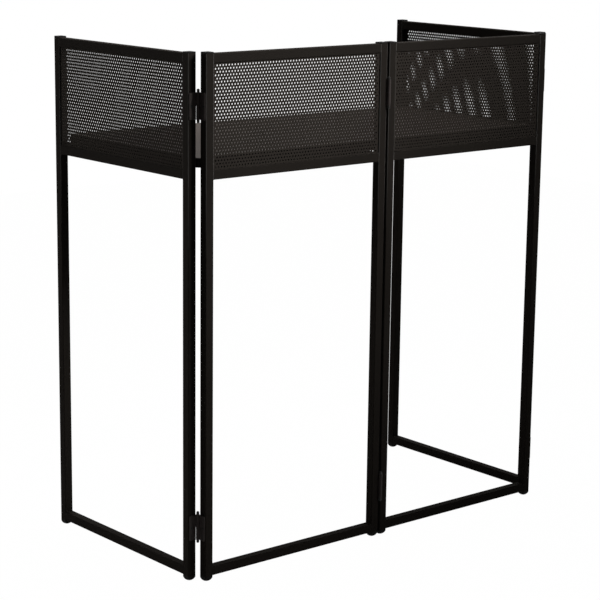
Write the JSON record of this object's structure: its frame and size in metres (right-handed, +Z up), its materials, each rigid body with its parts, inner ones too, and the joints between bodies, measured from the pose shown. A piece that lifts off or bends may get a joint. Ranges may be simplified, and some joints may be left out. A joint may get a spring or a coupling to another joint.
{
  "type": "dj booth",
  "caption": "Folding booth of hinged square-tube frames with perforated screens above a lift-off table, open at the rear and below the table.",
  "frame": {"origin": "middle of the footprint, on the floor under the feet", "axes": "+Z up, the front frames face -Y, +X runs along the front to the right as seen from the front"},
  "size_m": [1.048, 0.528, 1.126],
  "materials": {
    "frame_paint": "satin black powder coat",
    "screen_paint": "satin black powder coat on perforated sheet",
    "hinge_paint": "satin black coat",
    "pin_steel": "black oxide",
    "screw_steel": "black zinc",
    "ledge_paint": "satin black powder coat",
    "cap_plastic": "moulded black",
    "foot_plastic": "moulded black",
    "pad_rubber": "matt black",
    "table_laminate": "fine-textured black laminate",
    "table_edge": "black edge band"
  },
  "bodies": {
    "left_wing": {"left_wing_rear_post": "frame_paint", "left_wing_corner_post": "frame_paint", "left_wing_top_rail": "frame_paint", "left_wing_table_rail": "frame_paint", "left_wing_floor_rail": "frame_paint", "left_wing_screen": "screen_paint", "left_wing_caps": "cap_plastic", "left_wing_feet": "foot_plastic", "left_wing_ledge": "ledge_paint", "left_wing_pads": "pad_rubber", "left_wing_screws": "screw_steel", "left_hinge_wing_leaves": "hinge_paint"},
    "front_left": {"front_left_corner_post": "frame_paint", "front_left_centre_post": "frame_paint", "front_left_top_rail": "frame_paint", "front_left_table_rail": "frame_paint", "front_left_floor_rail": "frame_paint", "front_left_screen": "screen_paint", "front_left_caps": "cap_plastic", "front_left_feet": "foot_plastic", "front_left_ledge": "ledge_paint", "front_left_pads": "pad_rubber", "front_left_screws": "screw_steel", "left_hinge_front_leaves": "hinge_paint", "left_hinge_pins": "pin_steel", "centre_hinge_left_leaves": "hinge_paint", "centre_hinge_pins": "pin_steel"},
    "front_right": {"front_right_centre_post": "frame_paint", "front_right_corner_post": "frame_paint", "front_right_top_rail": "frame_paint", "front_right_table_rail": "frame_paint", "front_right_floor_rail": "frame_paint", "front_right_screen": "screen_paint", "front_right_caps": "cap_plastic", "front_right_feet": "foot_plastic", "front_right_ledge": "ledge_paint", "front_right_pads": "pad_rubber", "front_right_screws": "screw_steel", "centre_hinge_right_leaves": "hinge_paint", "right_hinge_front_leaves": "hinge_paint", "right_hinge_pins": "pin_steel"},
    "right_wing": {"right_wing_corner_post": "frame_paint", "right_wing_rear_post": "frame_paint", "right_wing_top_rail": "frame_paint", "right_wing_table_rail": "frame_paint", "right_wing_floor_rail": "frame_paint", "right_wing_screen": "screen_paint", "right_wing_caps": "cap_plastic", "right_wing_feet": "foot_plastic", "right_wing_ledge": "ledge_paint", "right_wing_pads": "pad_rubber", "right_wing_screws": "screw_steel", "right_hinge_wing_leaves": "hinge_paint"},
    "table": {"table_board": "table_laminate", "table_edge_band": "table_edge"}
  },
  "joints": [
    {"name": "left_wing_swing", "type": "hinge", "parent": "front_left", "child": "left_wing", "pos_m": [-0.501, -0.234, 0], "axis": [0, 0, 1], "range_deg": [0, 90]},
    {"name": "front_fold", "type": "hinge", "parent": "front_left", "child": "front_right", "pos_m": [0, -0.26, 0], "axis": [0, 0, -1], "range_deg": [0, 180]},
    {"name": "right_wing_swing", "type": "hinge", "parent": "front_right", "child": "right_wing", "pos_m": [0.501, -0.234, 0], "axis": [0, 0, -1], "range_deg": [0, 90]},
    {"name": "table_lift", "type": "slide", "parent": "front_left", "child": "table", "axis": [0, 0, 1], "range_m": [0, 0.26]}
  ]
}
